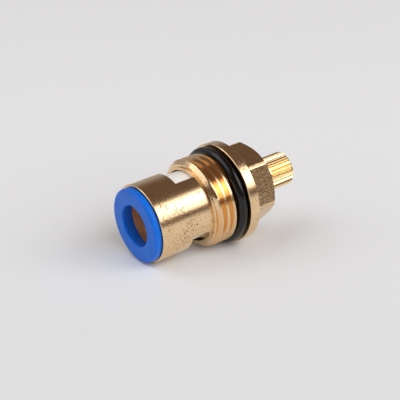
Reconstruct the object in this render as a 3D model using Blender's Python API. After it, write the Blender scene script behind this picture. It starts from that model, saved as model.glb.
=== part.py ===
"""Quarter-turn ceramic disc tap cartridge with a G1/2 thread, closed.

The turning axis is X: the inlet seal looks to -X and the splined spindle to +X. The origin is the middle of
the cartridge's length, on the axis. The assembly is rolled about X to lie as it does on a table, +Z up.
"""

import math

import bmesh
import bpy
from mathutils import Matrix, Vector

MM = 0.001

# Facets round a full turn, shared by every round piece so that neighbouring facets line up. They are wide
# enough for the cartridge to lie still on one. Then the facets round an O-ring's section
SEGMENTS = 30
RING_SIDES = 16

# Clearances
SEAT_GAP = 0.05 * MM
SLIDE_GAP = 0.10 * MM
DISC_CLEARANCE = 0.15 * MM
BORE_CLEARANCE = 0.30 * MM

# How the cartridge lies on a table: the upper window is turned this far about X from straight up, and the
# first facet starts where it leaves one flat on the table
ROLL = math.radians(-21.1)
FACET_START = math.pi - ROLL + math.pi / SEGMENTS

# G1/2 thread: major diameter and pitch of the standard, 14 threads to the inch
THREAD_MAJOR_DIAMETER = 20.955 * MM
THREAD_PITCH = 1.814 * MM
THREAD_DEPTH = 0.640327 * THREAD_PITCH
THREAD_LENGTH = 5.98 * MM
THREAD_FRONT_STEP = 0.48 * MM
THREAD_LEAD_LENGTH = 0.85 * MM

# Sleeve, which passes inside the tap's female thread
SLEEVE_RELIEF = 0.216 * MM
SLEEVE_WALL = 0.65 * MM
SLEEVE_LENGTH = 13.33 * MM
SLEEVE_RIM_CHAMFER = 0.12 * MM
WINDOW_LENGTH = 4.88 * MM
WINDOW_TO_THREAD = 0.57 * MM
WINDOW_FLOOR = 6.27 * MM

# Flange and its sealing ring
FLANGE_RING_SECTION = 2.40 * MM
FLANGE_RING_UNDERCUT = 0.35 * MM
FLANGE_LAND = 0.40 * MM
FLANGE_THICKNESS = 2.55 * MM
FLANGE_CHAMFER = 0.20 * MM

# Hexagon
HEX_ACROSS_FLATS = 17.0 * MM
HEX_CORNER_DIAMETER = 19.1 * MM
HEX_LENGTH = 6.95 * MM
HEX_CHAMFER_LENGTH = 0.80 * MM
HEX_FACE_MARGIN = 0.05 * MM
HEX_ANGLE = math.radians(6.35)

# Inlet seal and the ring that stiffens it
SEAL_PROUD = 1.62 * MM
SEAL_BULGE = 0.15 * MM
SEAL_EDGE_RADIUS = 0.50 * MM
SEAL_FACE_WIDTH = 3.78 * MM
SEAL_HOLE_FLARE = 1.15 * MM
SEAL_LIP_LENGTH = 3.26 * MM
SUPPORT_RING_STEP = 0.30 * MM
SUPPORT_RING_WALL = 0.75 * MM

# Ceramic discs
FIXED_DISC_THICKNESS = 3.20 * MM
PORT_RIM = 2.30 * MM
PORT_HEIGHT = 3.80 * MM
PORT_HALF_ANGLE = math.radians(38.0)
KEY_RADIUS = 0.70 * MM
KEY_INSET = 0.15 * MM
MOVING_DISC_THICKNESS = 5.75 * MM
MOVING_DISC_HALF_ANGLE = math.radians(47.0)
LOWER_SECTOR_RELIEF = 0.60 * MM
HUB_RADIUS = 3.20 * MM
SLOT_CLEARANCE = 0.15 * MM

# Spindle
SHAFT_DIAMETER = 9.90 * MM
SPINDLE_PROUD = 9.67 * MM
PLATE_THICKNESS = 1.70 * MM
LOBE_HALF_ANGLE = math.radians(30.0)
LOBE_INSET = 0.10 * MM
TRAVEL = math.radians(90.0)
STOP_CLEARANCE = math.radians(1.0)
STOP_GAP = 0.20 * MM
TANG_LENGTH = 11.60 * MM
TANG_WIDTH = 3.20 * MM
TANG_DEPTH = 2.40 * MM
WASHER_THICKNESS = 0.70 * MM
WASHER_WIDTH = 0.85 * MM
STEM_RING_SECTION = 1.40 * MM
STEM_RING_PITCH = 4.00 * MM
STEM_RING_SETBACK = 6.80 * MM
SPLINE_DIAMETER = 8.06 * MM
SPLINE_LENGTH = 6.40 * MM
SPLINE_DEPTH = 0.40 * MM
SPLINE_TEETH = 24
SPLINE_ROOT_SHARE = 0.08
SPLINE_TIP_SHARE = 0.22
SPLINE_ANGLE = math.radians(4.5)
SPLINE_CHAMFER = 0.20 * MM
SHANK_STEP = 0.05 * MM
SCREW_HOLE_DIAMETER = 3.30 * MM
SCREW_HOLE_DEPTH = 9.00 * MM
SCREW_HOLE_CHAMFER = 0.35 * MM
BORE_CHAMFER = 0.40 * MM

# Circlip on the spindle, over the hexagon's end
CLIP_THICKNESS = 0.70 * MM
CLIP_GROOVE_DEPTH = 0.75 * MM
CLIP_WIDTH = 1.70 * MM
CLIP_HALF_MOUTH = math.radians(28.0)
CLIP_LUG_ANGLE = math.radians(20.0)
CLIP_LUG_HEIGHT = 0.80 * MM
CLIP_LUG_HOLE_DIAMETER = 1.00 * MM
CLIP_SHOULDER = 0.60 * MM

# Radii that follow
THREAD_RADIUS = THREAD_MAJOR_DIAMETER / 2
THREAD_ROOT_RADIUS = THREAD_RADIUS - THREAD_DEPTH
SLEEVE_RADIUS = THREAD_ROOT_RADIUS - SLEEVE_RELIEF
BORE_RADIUS = SLEEVE_RADIUS - SLEEVE_WALL
GROOVE_RADIUS = THREAD_ROOT_RADIUS - FLANGE_RING_UNDERCUT
FLANGE_RING_RADIUS = GROOVE_RADIUS + SEAT_GAP + FLANGE_RING_SECTION / 2
FLANGE_RADIUS = FLANGE_RING_RADIUS + FLANGE_RING_SECTION / 2 + FLANGE_LAND
HEX_FACE_RADIUS = HEX_ACROSS_FLATS / 2 - HEX_FACE_MARGIN
SHAFT_RADIUS = SHAFT_DIAMETER / 2
SPINDLE_BORE_RADIUS = SHAFT_RADIUS + SLIDE_GAP
WASHER_BORE_RADIUS = SPINDLE_BORE_RADIUS + BORE_CHAMFER
PLATE_RADIUS = WASHER_BORE_RADIUS + WASHER_WIDTH
STEM_RING_RADIUS = SPINDLE_BORE_RADIUS - SEAT_GAP - STEM_RING_SECTION / 2
STEM_GROOVE_RADIUS = STEM_RING_RADIUS - STEM_RING_SECTION / 2 - SEAT_GAP
SPLINE_RADIUS = SPLINE_DIAMETER / 2
SHANK_RADIUS = SPLINE_RADIUS + SHANK_STEP
CLIP_GROOVE_RADIUS = SHAFT_RADIUS - CLIP_GROOVE_DEPTH
CLIP_INNER_RADIUS = CLIP_GROOVE_RADIUS + SEAT_GAP
CLIP_OUTER_RADIUS = CLIP_INNER_RADIUS + CLIP_WIDTH
SEAL_RADIUS = BORE_RADIUS + SEAL_BULGE
SEAL_BODY_RADIUS = BORE_RADIUS - SEAT_GAP
SEAL_HOLE_RADIUS = SEAL_RADIUS - SEAL_FACE_WIDTH
SUPPORT_RING_INNER_RADIUS = SEAL_HOLE_RADIUS + SEAL_HOLE_FLARE + SUPPORT_RING_STEP
SUPPORT_RING_OUTER_RADIUS = SUPPORT_RING_INNER_RADIUS + SUPPORT_RING_WALL
FIXED_DISC_RADIUS = BORE_RADIUS - DISC_CLEARANCE
PORT_OUTER_RADIUS = FIXED_DISC_RADIUS - PORT_RIM
PORT_INNER_RADIUS = PORT_OUTER_RADIUS - PORT_HEIGHT
MOVING_DISC_RADIUS = BORE_RADIUS - BORE_CLEARANCE
LOWER_SECTOR_RADIUS = MOVING_DISC_RADIUS - LOWER_SECTOR_RELIEF
LOBE_RADIUS = BORE_RADIUS - BORE_CLEARANCE
STOP_INNER_RADIUS = PLATE_RADIUS + STOP_GAP
STOP_HALF_ANGLE = math.pi / 2 - TRAVEL / 2 - LOBE_HALF_ANGLE - STOP_CLEARANCE
KEY_CENTRE_RADIUS = BORE_RADIUS - KEY_INSET

# Stations along the axis, from the seal's front face to the spindle's end
GROOVE_WIDTH = FLANGE_RING_SECTION + 2 * SEAT_GAP
LENGTH = (
    SEAL_PROUD + SLEEVE_LENGTH + THREAD_LENGTH + GROOVE_WIDTH + FLANGE_THICKNESS + HEX_LENGTH + SPINDLE_PROUD
)
X_FRONT = -LENGTH / 2
X_RIM = X_FRONT + SEAL_PROUD
X_THREAD = X_RIM + SLEEVE_LENGTH
X_GROOVE = X_THREAD + THREAD_LENGTH
X_FLANGE = X_GROOVE + GROOVE_WIDTH
X_HEX = X_FLANGE + FLANGE_THICKNESS
X_HEX_END = X_HEX + HEX_LENGTH
X_TIP = X_HEX_END + SPINDLE_PROUD
X_WINDOW_END = X_THREAD - WINDOW_TO_THREAD
X_WINDOW = X_WINDOW_END - WINDOW_LENGTH

# Stations inside: the discs meet at the windows' near end, and the rest stacks up on either side
X_FIXED_DISC = X_WINDOW - SEAT_GAP - FIXED_DISC_THICKNESS
X_SEAL_REAR = X_FIXED_DISC - SEAT_GAP
X_SUPPORT_RING = X_FRONT + SEAL_LIP_LENGTH + SEAT_GAP
X_MOVING_DISC = X_WINDOW
X_PLATE = X_MOVING_DISC + MOVING_DISC_THICKNESS + SLIDE_GAP
X_WASHER = X_PLATE + PLATE_THICKNESS + SEAT_GAP
X_STEP = X_WASHER + WASHER_THICKNESS + SEAT_GAP
X_CLIP = X_HEX_END + SEAT_GAP
X_SPLINE = X_TIP - SPLINE_LENGTH
X_STEM_RING_OUTER = X_HEX_END - STEM_RING_SETBACK
X_STEM_RING_INNER = X_STEM_RING_OUTER - STEM_RING_PITCH

# How far a cutter runs past what it cuts
OVERRUN = 1.0 * MM


def clear_scene():
    for thing in list(bpy.data.objects):
        bpy.data.objects.remove(thing, do_unlink=True)


def make_material(name, colour, roughness, metallic=0.0):
    material = bpy.data.materials.new(name)
    material.use_nodes = True
    shader = material.node_tree.nodes["Principled BSDF"]
    shader.inputs["Base Color"].default_value = (*colour, 1.0)
    shader.inputs["Roughness"].default_value = roughness
    shader.inputs["Metallic"].default_value = metallic
    material.diffuse_color = (*colour, 1.0)
    return material


def make_empty(name, parent=None):
    empty = bpy.data.objects.new(name, None)
    empty.empty_display_size = 10 * MM
    empty.parent = parent
    bpy.context.collection.objects.link(empty)
    return empty


def finish_object(name, form, material, parent, x):
    """Turns a bmesh, drawn from its own front face at x = 0, into an object placed at the station x."""
    bmesh.ops.remove_doubles(form, verts=form.verts, dist=1e-7)
    bmesh.ops.recalc_face_normals(form, faces=form.faces)
    mesh = bpy.data.meshes.new(name)
    form.to_mesh(mesh)
    form.free()
    mesh.shade_smooth()
    mesh.set_sharp_from_angle(angle=math.radians(30))
    thing = bpy.data.objects.new(name, mesh)
    if material:
        mesh.materials.append(material)
    thing.location.x = x
    thing.parent = parent
    bpy.context.collection.objects.link(thing)
    return thing


def turned(name, profile, material, parent, x, sides=SEGMENTS, angle=FACET_START):
    """Turns a profile of (x, radius) points about X. A profile that starts on the axis also ends on it."""
    form = bmesh.new()
    start = Matrix.Rotation(angle, 3, "X")
    points = [form.verts.new(start @ Vector((along, 0.0, radius))) for along, radius in profile]
    edges = [form.edges.new(pair) for pair in zip(points, points[1:])]
    if profile[0][1] > 0:
        edges.append(form.edges.new((points[-1], points[0])))
    bmesh.ops.spin(
        form, geom=points + edges, axis=(1, 0, 0), cent=(0, 0, 0), angle=math.tau, steps=sides, use_merge=True
    )
    return finish_object(name, form, material, parent, x)


def prism(name, outline, length, material, parent, x):
    """Extrudes an outline of (y, z) points along X."""
    form = bmesh.new()
    face = form.faces.new([form.verts.new((0.0, y, z)) for y, z in outline])
    raised = bmesh.ops.extrude_face_region(form, geom=[face])
    moved = [item for item in raised["geom"] if isinstance(item, bmesh.types.BMVert)]
    bmesh.ops.translate(form, verts=moved, vec=(length, 0.0, 0.0))
    return finish_object(name, form, material, parent, x)


def polar(radius, angle):
    """The (y, z) point at a radius and an angle about +X, counted from +Z."""
    return (-radius * math.sin(angle), radius * math.cos(angle))


def arc(radius, start, end):
    """Points along an arc, about as far apart as the facets of a whole turn."""
    steps = max(1, round(abs(end - start) / math.tau * SEGMENTS))
    return [polar(radius, start + (end - start) * step / steps) for step in range(steps + 1)]


def sector(inner, outer, middle, half_angle):
    """The outline of a ring sector."""
    return arc(outer, middle - half_angle, middle + half_angle) + arc(
        inner, middle + half_angle, middle - half_angle
    )


def rectangle(width_y, width_z, centre_z=0.0):
    half_y, half_z = width_y / 2, width_z / 2
    corners = ((-half_y, -half_z), (half_y, -half_z), (half_y, half_z), (-half_y, half_z))
    return [(y, z + centre_z) for y, z in corners]


def circle(radius, centre=(0.0, 0.0), sides=SEGMENTS):
    rim = [polar(radius, math.tau * step / sides) for step in range(sides)]
    return [(y + centre[0], z + centre[1]) for y, z in rim]


def combine(target, tool, operation):
    """Cuts with a tool or joins it on. The tool stays in the file as a hidden guide."""
    tool.hide_render = True
    tool.display_type = "WIRE"
    modifier = target.modifiers.new(tool.name, "BOOLEAN")
    modifier.operation = operation
    modifier.solver = "EXACT"
    modifier.object = tool


def cut(target, tool):
    combine(target, tool, "DIFFERENCE")


def join(target, tool):
    combine(target, tool, "UNION")


def o_ring(name, radius, section, material, parent, x):
    """An O-ring between the stations x and x + section."""
    half = section / 2
    angles = [math.tau * step / RING_SIDES for step in range(RING_SIDES)]
    profile = [(half - half * math.cos(turn), radius + half * math.sin(turn)) for turn in angles]
    return turned(name, profile, material, parent, x)


def body_profile():
    """The one-piece brass body's outside from the rim to the hexagon's end, then back along its bores."""
    rim = SLEEVE_RIM_CHAMFER
    outside = [
        (X_RIM, BORE_RADIUS),
        (X_RIM, SLEEVE_RADIUS - rim),
        (X_RIM + rim, SLEEVE_RADIUS),
        (X_THREAD, SLEEVE_RADIUS),
        (X_THREAD, SLEEVE_RADIUS + THREAD_FRONT_STEP),
        (X_THREAD + THREAD_LEAD_LENGTH, THREAD_RADIUS),
        (X_GROOVE, THREAD_RADIUS),
        (X_GROOVE, GROOVE_RADIUS),
        (X_FLANGE, GROOVE_RADIUS),
        (X_FLANGE, FLANGE_RADIUS - FLANGE_CHAMFER),
        (X_FLANGE + FLANGE_CHAMFER, FLANGE_RADIUS),
        (X_HEX - FLANGE_CHAMFER, FLANGE_RADIUS),
        (X_HEX, FLANGE_RADIUS - FLANGE_CHAMFER),
        (X_HEX, HEX_CORNER_DIAMETER / 2),
        (X_HEX_END - HEX_CHAMFER_LENGTH, HEX_CORNER_DIAMETER / 2),
        (X_HEX_END, HEX_FACE_RADIUS),
    ]
    inside = [
        (X_HEX_END, SPINDLE_BORE_RADIUS + BORE_CHAMFER),
        (X_HEX_END - BORE_CHAMFER, SPINDLE_BORE_RADIUS),
        (X_STEP + BORE_CHAMFER, SPINDLE_BORE_RADIUS),
        (X_STEP, SPINDLE_BORE_RADIUS + BORE_CHAMFER),
        (X_STEP, BORE_RADIUS),
    ]
    return [(x - X_RIM, radius) for x, radius in outside + inside]


def make_body(parent, brass):
    body = turned("valve_body", body_profile(), brass, parent, X_RIM)

    # Six flats, milled into the round with a hexagonal ring
    corner = HEX_ACROSS_FLATS / 2 / math.cos(math.pi / 6)
    reach = HEX_LENGTH + OVERRUN
    ring = [(0, corner), (0, 2 * corner), (reach, 2 * corner), (reach, corner)]
    cut(body, turned("hexagon_cutter", ring, None, parent, X_HEX, sides=6, angle=HEX_ANGLE))

    # Two outlet windows, each one straight pass of a milling cutter
    height = SLEEVE_RADIUS - WINDOW_FLOOR + OVERRUN
    for side, label in ((1, "upper"), (-1, "lower")):
        opening = rectangle(2 * SLEEVE_RADIUS + OVERRUN, height, side * (WINDOW_FLOOR + height / 2))
        cut(body, prism(f"{label}_window_cutter", opening, WINDOW_LENGTH, None, parent, X_WINDOW))

    # Two stops on the step, which the spindle's lobes run against
    stop_front = X_PLATE + LOBE_INSET
    for middle, label in ((0, "first"), (math.pi, "second")):
        segment = sector(
            STOP_INNER_RADIUS,
            BORE_RADIUS + SLEEVE_WALL / 2,
            middle - TRAVEL / 2,
            STOP_HALF_ANGLE,
        )
        length = X_STEP - stop_front + BORE_CHAMFER
        join(body, prism(f"{label}_stop", segment, length, None, parent, stop_front))

    # Two half-round keys in the bore, which hold the fixed disc
    for side, label in ((1, "left"), (-1, "right")):
        key = circle(KEY_RADIUS, (side * KEY_CENTRE_RADIUS, 0.0), sides=16)
        join(body, prism(f"{label}_key", key, FIXED_DISC_THICKNESS, None, parent, X_FIXED_DISC))
    return body


def spindle_profile():
    """The spindle without its tang, lobes and spline, from the plate's face to the shank's end."""
    points = [(X_PLATE, 0.0), (X_PLATE, PLATE_RADIUS), (X_PLATE + PLATE_THICKNESS, PLATE_RADIUS)]
    points.append((X_PLATE + PLATE_THICKNESS, SHAFT_RADIUS))
    half_groove = STEM_RING_SECTION / 2 + SEAT_GAP
    for middle in (X_STEM_RING_INNER, X_STEM_RING_OUTER):
        for x in (middle - half_groove, middle + half_groove):
            step = [(x, SHAFT_RADIUS), (x, STEM_GROOVE_RADIUS)]
            points += step if x < middle else step[::-1]
    clip_end = X_CLIP + CLIP_THICKNESS + SEAT_GAP
    shoulder = clip_end + CLIP_SHOULDER
    points += [
        (X_CLIP - SEAT_GAP, SHAFT_RADIUS),
        (X_CLIP - SEAT_GAP, CLIP_GROOVE_RADIUS),
        (clip_end, CLIP_GROOVE_RADIUS),
        (clip_end, SHAFT_RADIUS),
        (shoulder, SHAFT_RADIUS),
        (shoulder + (SHAFT_RADIUS - SHANK_RADIUS) / 2, SHANK_RADIUS),
        (X_SPLINE, SHANK_RADIUS),
        (X_SPLINE, 0.0),
    ]
    return [(x - X_PLATE, radius) for x, radius in points]


def spline_outline(tip, root):
    """Spline teeth with a narrow flat on the tip and at the root."""
    pitch = math.tau / SPLINE_TEETH
    half_root, half_tip = SPLINE_ROOT_SHARE / 2, SPLINE_TIP_SHARE / 2
    outline = []
    for tooth in range(SPLINE_TEETH):
        valley = SPLINE_ANGLE + tooth * pitch
        outline += [polar(root, valley + share * pitch) for share in (-half_root, half_root)]
        outline += [polar(tip, valley + share * pitch) for share in (0.5 - half_tip, 0.5 + half_tip)]
    return outline


def make_spline(parent):
    """The toothed end, lofted from full teeth to a chamfered end face. It starts inside the shank."""
    root = SPLINE_RADIUS - SPLINE_DEPTH
    end_tip = SPLINE_RADIUS - SPLINE_CHAMFER
    sections = (
        (0.0, SPLINE_RADIUS),
        (OVERRUN + SPLINE_LENGTH - SPLINE_CHAMFER, SPLINE_RADIUS),
        (OVERRUN + SPLINE_LENGTH, end_tip),
    )
    form = bmesh.new()
    loops = []
    for x, tip in sections:
        verts = [form.verts.new((x, y, z)) for y, z in spline_outline(tip, min(root, tip))]
        loops.append(verts)
    form.faces.new(loops[0])
    form.faces.new(loops[-1])
    for near, far in zip(loops, loops[1:]):
        for index, vert in enumerate(near):
            following = (index + 1) % len(near)
            form.faces.new((vert, near[following], far[following], far[index]))
    # The chamfered flanks are slightly twisted, so all faces become triangles
    bmesh.ops.triangulate(form, faces=form.faces)
    return finish_object("spline", form, None, parent, X_SPLINE - OVERRUN)


def make_spindle(parent, brass):
    # The lobes' sides meet the plate in the middle of a facet, and not along an edge
    start = LOBE_HALF_ANGLE + math.pi / SEGMENTS
    spindle = turned("spindle", spindle_profile(), brass, parent, X_PLATE, angle=start)
    join(spindle, make_spline(parent))

    # Two lobes on the plate, which stop the turn against the body's segments. Closed, each is next to a stop
    middle = -TRAVEL / 2 + STOP_HALF_ANGLE + STOP_CLEARANCE + LOBE_HALF_ANGLE
    for turn, label in ((0, "first"), (math.pi, "second")):
        outline = sector(PLATE_RADIUS / 2, LOBE_RADIUS, middle + turn, LOBE_HALF_ANGLE)
        length = PLATE_THICKNESS - 2 * LOBE_INSET
        join(spindle, prism(f"{label}_lobe", outline, length, None, parent, X_PLATE + LOBE_INSET))

    # Tang, which drives the moving disc
    tang = rectangle(TANG_WIDTH, TANG_LENGTH)
    join(spindle, prism("tang", tang, TANG_DEPTH + PLATE_THICKNESS / 2, None, parent, X_PLATE - TANG_DEPTH))

    # Blind hole for the handle's screw
    radius = SCREW_HOLE_DIAMETER / 2
    mouth = radius + SCREW_HOLE_CHAMFER
    hole = [
        (0.0, 0.0),
        (radius, radius),
        (SCREW_HOLE_DEPTH - SCREW_HOLE_CHAMFER, radius),
        (SCREW_HOLE_DEPTH, mouth),
        (SCREW_HOLE_DEPTH + OVERRUN, mouth),
        (SCREW_HOLE_DEPTH + OVERRUN, 0.0),
    ]
    cut(spindle, turned("screw_hole_cutter", hole, None, parent, X_TIP - SCREW_HOLE_DEPTH, sides=24))
    return spindle


def make_clip(parent, steel):
    """A snap ring for shafts: a C with two lugs, each with a hole for the pliers."""
    start, end = CLIP_HALF_MOUTH, math.tau - CLIP_HALF_MOUTH
    lug_radius = CLIP_OUTER_RADIUS + CLIP_LUG_HEIGHT
    outline = (
        arc(lug_radius, start, start + CLIP_LUG_ANGLE)
        + arc(CLIP_OUTER_RADIUS, start + CLIP_LUG_ANGLE, end - CLIP_LUG_ANGLE)
        + arc(lug_radius, end - CLIP_LUG_ANGLE, end)
        + arc(CLIP_INNER_RADIUS, end, start)
    )
    clip = prism("spindle_circlip", outline, CLIP_THICKNESS, steel, parent, X_CLIP)
    middle = (CLIP_INNER_RADIUS + lug_radius) / 2
    for angle, label in ((start + CLIP_LUG_ANGLE / 2, "first"), (end - CLIP_LUG_ANGLE / 2, "second")):
        hole = circle(CLIP_LUG_HOLE_DIAMETER / 2, polar(middle, angle), sides=12)
        length = CLIP_THICKNESS + 2 * OVERRUN
        cut(clip, prism(f"{label}_lug_hole_cutter", hole, length, None, parent, X_CLIP - OVERRUN))
    return clip


def make_moving_disc(parent, ceramic):
    """Two sectors on a hub, the lower one cut back. Closed, they cover the ports and face the windows."""
    half, free = MOVING_DISC_HALF_ANGLE, math.pi - MOVING_DISC_HALF_ANGLE
    outline = (
        arc(MOVING_DISC_RADIUS, -half, half)
        + arc(HUB_RADIUS, half, free)
        + arc(LOWER_SECTOR_RADIUS, free, free + 2 * half)
        + arc(HUB_RADIUS, free + 2 * half, math.tau - half)
    )
    disc = prism("moving_disc", outline, MOVING_DISC_THICKNESS, ceramic, parent, X_MOVING_DISC)
    slot = rectangle(TANG_WIDTH + 2 * SLOT_CLEARANCE, TANG_LENGTH + 2 * SLOT_CLEARANCE)
    depth = TANG_DEPTH + SLOT_CLEARANCE
    x = X_PLATE - depth
    cut(disc, prism("tang_slot_cutter", slot, depth + OVERRUN, None, parent, x))
    return disc


def make_fixed_disc(parent, ceramic):
    """A plate with two sector ports in line with the windows, and a notch for each key."""
    disc = prism("fixed_disc", circle(FIXED_DISC_RADIUS), FIXED_DISC_THICKNESS, ceramic, parent, X_FIXED_DISC)
    length = FIXED_DISC_THICKNESS + 2 * OVERRUN
    x = X_FIXED_DISC - OVERRUN
    for middle, label in ((0, "upper"), (math.pi, "lower")):
        port = sector(PORT_INNER_RADIUS, PORT_OUTER_RADIUS, middle, PORT_HALF_ANGLE)
        cut(disc, prism(f"{label}_port_cutter", port, length, None, parent, x))
    for side, label in ((1, "left"), (-1, "right")):
        notch = circle(KEY_RADIUS + DISC_CLEARANCE, (side * KEY_CENTRE_RADIUS, 0.0), sides=16)
        cut(disc, prism(f"{label}_notch_cutter", notch, length, None, parent, x))
    return disc


def make_seal(parent, rubber):
    """A thick ring that stands proud of the sleeve, its hole flaring to the support ring's seat."""
    edge = SEAL_EDGE_RADIUS
    rear = X_SEAL_REAR - X_FRONT
    turns = [math.pi / 2 * step / 4 for step in range(5)]
    corner = [(edge - edge * math.cos(t), SEAL_RADIUS - edge + edge * math.sin(t)) for t in turns]
    seat = SUPPORT_RING_OUTER_RADIUS + SEAT_GAP
    profile = (
        [(0.0, SEAL_HOLE_RADIUS)]
        + corner
        + [
            (SEAL_PROUD - SEAL_BULGE - 2 * SEAT_GAP, SEAL_RADIUS),
            (SEAL_PROUD - SEAT_GAP, SEAL_BODY_RADIUS),
            (rear, SEAL_BODY_RADIUS),
            (rear, seat),
            (SEAL_LIP_LENGTH, seat),
            (SEAL_LIP_LENGTH, SEAL_HOLE_RADIUS + SEAL_HOLE_FLARE),
        ]
    )
    return turned("inlet_seal", profile, rubber, parent, X_FRONT)


def tube(name, inner, outer, length, material, parent, x):
    profile = [(0.0, inner), (0.0, outer), (length, outer), (length, inner)]
    return turned(name, profile, material, parent, x)


def build():
    clear_scene()
    brass = make_material("brass", (0.76, 0.56, 0.30), 0.28, 1.0)
    bright_brass = make_material("bright_brass", (0.88, 0.66, 0.34), 0.22, 1.0)
    ceramic = make_material("ceramic", (0.86, 0.84, 0.80), 0.35)
    blue_rubber = make_material("blue_rubber", (0.06, 0.18, 0.60), 0.45)
    black_rubber = make_material("black_rubber", (0.02, 0.02, 0.022), 0.42)
    spring_steel = make_material("spring_steel", (0.42, 0.42, 0.44), 0.35, 1.0)
    white_plastic = make_material("white_plastic", (0.82, 0.82, 0.78), 0.45)

    cartridge = make_empty("cartridge")
    cartridge.rotation_euler.x = ROLL
    turning = make_empty("spindle_axis", cartridge)

    make_body(cartridge, brass)
    x = X_GROOVE + SEAT_GAP
    o_ring("flange_o_ring", FLANGE_RING_RADIUS, FLANGE_RING_SECTION, black_rubber, cartridge, x)
    make_seal(cartridge, blue_rubber)
    ring_length = X_SEAL_REAR - X_SUPPORT_RING
    tube(
        "seal_support_ring",
        SUPPORT_RING_INNER_RADIUS,
        SUPPORT_RING_OUTER_RADIUS,
        ring_length,
        brass,
        cartridge,
        X_SUPPORT_RING,
    )
    make_fixed_disc(cartridge, ceramic)
    tube(
        "slide_washer", WASHER_BORE_RADIUS, PLATE_RADIUS, WASHER_THICKNESS, white_plastic, cartridge, X_WASHER
    )

    make_moving_disc(turning, ceramic)
    make_spindle(turning, bright_brass)
    make_clip(turning, spring_steel)
    for label, middle in (("inner", X_STEM_RING_INNER), ("outer", X_STEM_RING_OUTER)):
        x = middle - STEM_RING_SECTION / 2
        o_ring(f"spindle_o_ring_{label}", STEM_RING_RADIUS, STEM_RING_SECTION, black_rubber, turning, x)


build()
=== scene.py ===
"""Looks, light and camera for the ceramic disc tap cartridge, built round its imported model.

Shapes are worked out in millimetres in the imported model's frame, and then scaled to metres.
X is the turning axis, from the inlet seal at -X to the splined spindle at +X.
"""

import math

import bmesh
import bpy
from mathutils import Matrix, Vector


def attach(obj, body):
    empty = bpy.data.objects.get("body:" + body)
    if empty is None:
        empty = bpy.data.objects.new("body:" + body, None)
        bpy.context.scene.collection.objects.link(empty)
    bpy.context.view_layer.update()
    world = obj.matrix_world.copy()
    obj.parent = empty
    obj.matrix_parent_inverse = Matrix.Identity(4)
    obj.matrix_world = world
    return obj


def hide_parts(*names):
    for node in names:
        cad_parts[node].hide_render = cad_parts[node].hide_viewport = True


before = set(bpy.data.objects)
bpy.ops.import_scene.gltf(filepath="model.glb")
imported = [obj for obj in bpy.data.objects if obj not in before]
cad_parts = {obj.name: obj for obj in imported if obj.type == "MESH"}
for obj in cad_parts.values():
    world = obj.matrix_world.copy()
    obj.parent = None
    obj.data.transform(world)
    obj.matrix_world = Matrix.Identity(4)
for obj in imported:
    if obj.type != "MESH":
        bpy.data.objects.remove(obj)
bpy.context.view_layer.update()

MM = 0.001
TAU = math.tau

# How the cartridge lies: turned about X from the upper window facing straight up
ROLL = math.radians(-21.1)

# Facets round a turn, round a ring's section, and round a small hole or key
ROUND = 192
RING_SIDES = 40
HOLE_SIDES = 24

# Stations along the axis. These and all sizes up to the shapes are in millimetres
X_FRONT = -21.30
X_RIM = -19.68
X_SUPPORT_RING = -17.99
X_SEAL_REAR = -15.10
X_FIXED_DISC = -15.05
X_WINDOW = -11.80
X_WINDOW_END = -6.92
X_THREAD = -6.35
X_PLATE = -5.95
X_STEP = -3.45
X_GROOVE = -0.37
X_FLANGE = 2.13
X_HEX = 4.68
X_HEX_END = 11.63
X_SPLINE = 14.90
X_TIP = 21.30

# A fitted piece's gap, how far cutters run past and joined forms reach in, and how far edges are broken
SEAT = 0.05
OVERRUN = 1.0
SUNK = 0.3
BRASS_EDGE = 0.05
HARD_EDGE = 0.06

# Tolerances for telling one place from another
HAIR = 0.001
NEAR = 0.01

# Sleeve: a fine groove ahead of the thread, and a neck right before it. SLEEVE and its like are radii
SLEEVE = 9.10
SLEEVE_BORE = 8.45
RIM_CHAMFER = 0.12
END_GROOVE_AHEAD = 0.58
END_GROOVE_SLOPE = 0.10
END_GROOVE_DEPTH = 0.04
NECK_LENGTH = 0.24
NECK_SLOPE = 0.12
NECK_DEPTH = 0.045
WINDOW_FLOOR = 6.27
WINDOW_WIDTH = 19.2
STOP_INNER = 6.50
STOP_HALF = math.radians(14.0)
STOP_INSET = 0.1
KEY = 0.70
KEY_INSET = 0.15
FIXED_DISC_THICKNESS = 3.2

# Head: ring groove, flange, hexagon and the spindle's bore
GROOVE = 8.966
FLANGE = 11.816
FLANGE_FRONT_CHAMFER = 0.12
FLANGE_REAR_CHAMFER = 0.20
HEX_FLAT = 8.50
HEX_CORNER = 9.55
HEX_FACE = 8.45
HEX_CHAMFER = 0.80
HEX_TURN = math.radians(6.35)
SPINDLE_BORE = 5.05
BORE_CHAMFER = 0.40

# Thread: its first crest is at X_CREST where the angle is CREST_ANGLE, and its flanks lean by 30 degrees
THREAD_MAJOR = 10.4775
THREAD_PITCH = 1.814
THREAD_LAND = 0.475
THREAD_ROOT = 9.318
THREAD_FRONT = 9.58
THREAD_LEAD_IN = 0.85
X_CREST = -5.06
CREST_ANGLE = math.radians(78.1)
THREAD_ENTRY = math.radians(50.0)
THREAD_ENTRY_TURN = math.radians(75.0)
THREAD_SEAM = math.radians(60.0)
CONE_ROWS = 6

# Flange's O-ring and inlet seal
RING = 10.216
RING_SECTION = 2.40
SEAL_FACE = 8.60
SEAL_EDGE = 0.55
SEAL_TAPER = 0.25
SEAL_HOLE = 4.82
SEAL_HOLE_EDGE = 0.35
SEAL_HOLE_END = 5.97
SEAL_LIP_LENGTH = 3.26
SUPPORT_RING_OUTER = 7.02
SUPPORT_RING_INNER = 6.27

# Moving disc: its lower sector is cut back
DISC = 8.15
DISC_LOWER = 7.55
DISC_HUB = 3.20
DISC_HALF = math.radians(47.0)
DISC_THICKNESS = 5.75
SLOT_WIDTH = 3.50
SLOT_LENGTH = 11.90
SLOT_DEPTH = 2.55

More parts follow.
